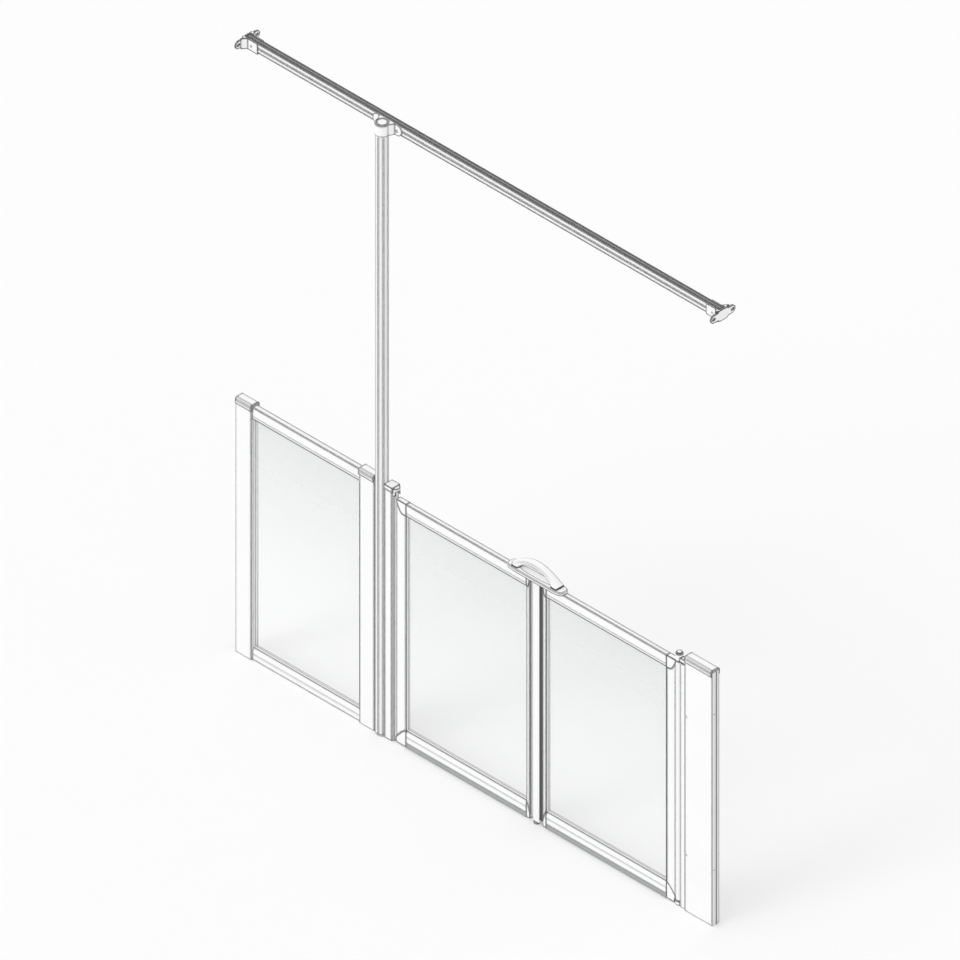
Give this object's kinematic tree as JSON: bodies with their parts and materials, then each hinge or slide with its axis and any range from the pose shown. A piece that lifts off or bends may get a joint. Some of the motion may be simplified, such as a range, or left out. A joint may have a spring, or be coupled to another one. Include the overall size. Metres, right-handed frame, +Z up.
{
  "type": "half-height carer shower screen",
  "caption": "Half-height assisted-shower screen with a fixed glazed panel, a support pole under a wall-to-wall curtain rail and a folding glazed door with a lift handle.",
  "frame": {"origin": "floor level, at the bottom centre of the whole screen's box", "axes": "+X along the screen from the fixed panel to the hinge side, +Y towards the wet side, +Z up"},
  "size_m": [1.963, 0.108, 2.179],
  "materials": {
    "white_powder_coat": "fine satin white polyester powder coat on aluminium extrusion",
    "white_plastic": "moulded white plastic, light satin grain",
    "grey_gasket": "grey extruded gasket and magnetic strip",
    "black_seal": "black rubber seal",
    "screw_steel": "stainless steel",
    "channel_aluminium": "mill finish aluminium",
    "safety_glass": "clear toughened glass"
  },
  "bodies": {
    "frame": {"wall_channel_left": "channel_aluminium", "panel_post_left": "white_powder_coat", "panel_post_right": "white_powder_coat", "panel_top_rail": "white_powder_coat", "panel_bottom_rail": "white_powder_coat", "panel_glass": "safety_glass", "panel_gasket": "grey_gasket", "post_cap_left": "white_plastic", "post_cap_middle": "white_plastic", "support_pole": "white_powder_coat", "pole_foot": "white_plastic", "pole_collar": "white_plastic", "collar_screws": "screw_steel", "curtain_rail": "white_powder_coat", "rail_bracket_left": "white_plastic", "rail_bracket_right": "white_plastic", "rail_bracket_screws": "screw_steel", "closing_jamb": "white_powder_coat", "jamb_cap": "white_plastic", "closing_profile": "white_powder_coat", "jamb_magnet": "grey_gasket", "wall_post_right": "white_powder_coat", "wall_channel_right": "channel_aluminium", "wall_post_cap": "white_plastic", "wall_post_screws": "screw_steel", "hinge_profile": "white_powder_coat", "pivot_block_bottom": "white_plastic", "pivot_cap_top": "white_plastic", "pivot_pins": "screw_steel"},
    "leaf_hinged": {"hinged_stile_outer": "white_powder_coat", "hinged_stile_inner": "white_powder_coat", "hinged_top_rail": "white_powder_coat", "hinged_bottom_rail": "white_powder_coat", "hinged_corners": "white_plastic", "hinged_glass": "safety_glass", "hinged_gasket": "grey_gasket", "hinged_bottom_seal": "grey_gasket", "hinged_bushes": "white_plastic", "hinged_fold_strip": "white_powder_coat"},
    "centre_bar": {"centre_bar": "white_powder_coat", "bar_seals": "black_seal", "bar_fold_strip": "white_powder_coat", "fold_pins": "screw_steel", "bar_foot": "white_plastic", "arch_handle": "white_plastic", "handle_screws": "screw_steel"},
    "leaf_leading": {"leading_stile_outer": "white_powder_coat", "leading_stile_inner": "white_powder_coat", "leading_top_rail": "white_powder_coat", "leading_bottom_rail": "white_powder_coat", "leading_corners": "white_plastic", "leading_glass": "safety_glass", "leading_gasket": "grey_gasket", "leading_bottom_seal": "grey_gasket", "leading_magnet": "grey_gasket", "leading_fold_strip": "white_powder_coat"}
  },
  "joints": [
    {"name": "door_swing", "type": "hinge", "parent": "frame", "child": "leaf_hinged", "pos_m": [0.8325, -0.028, 0.4], "axis": [0, 0, 1], "range_deg": [0, 90]},
    {"name": "fold_inner", "type": "hinge", "parent": "leaf_hinged", "child": "centre_bar", "pos_m": [0.271, -0.0155, 0.4], "axis": [0, 0, 1], "range_deg": [-90, 0]},
    {"name": "fold_outer", "type": "hinge", "parent": "centre_bar", "child": "leaf_leading", "pos_m": [0.231, -0.0155, 0.4], "axis": [0, 0, 1], "range_deg": [-90, 0]}
  ]
}
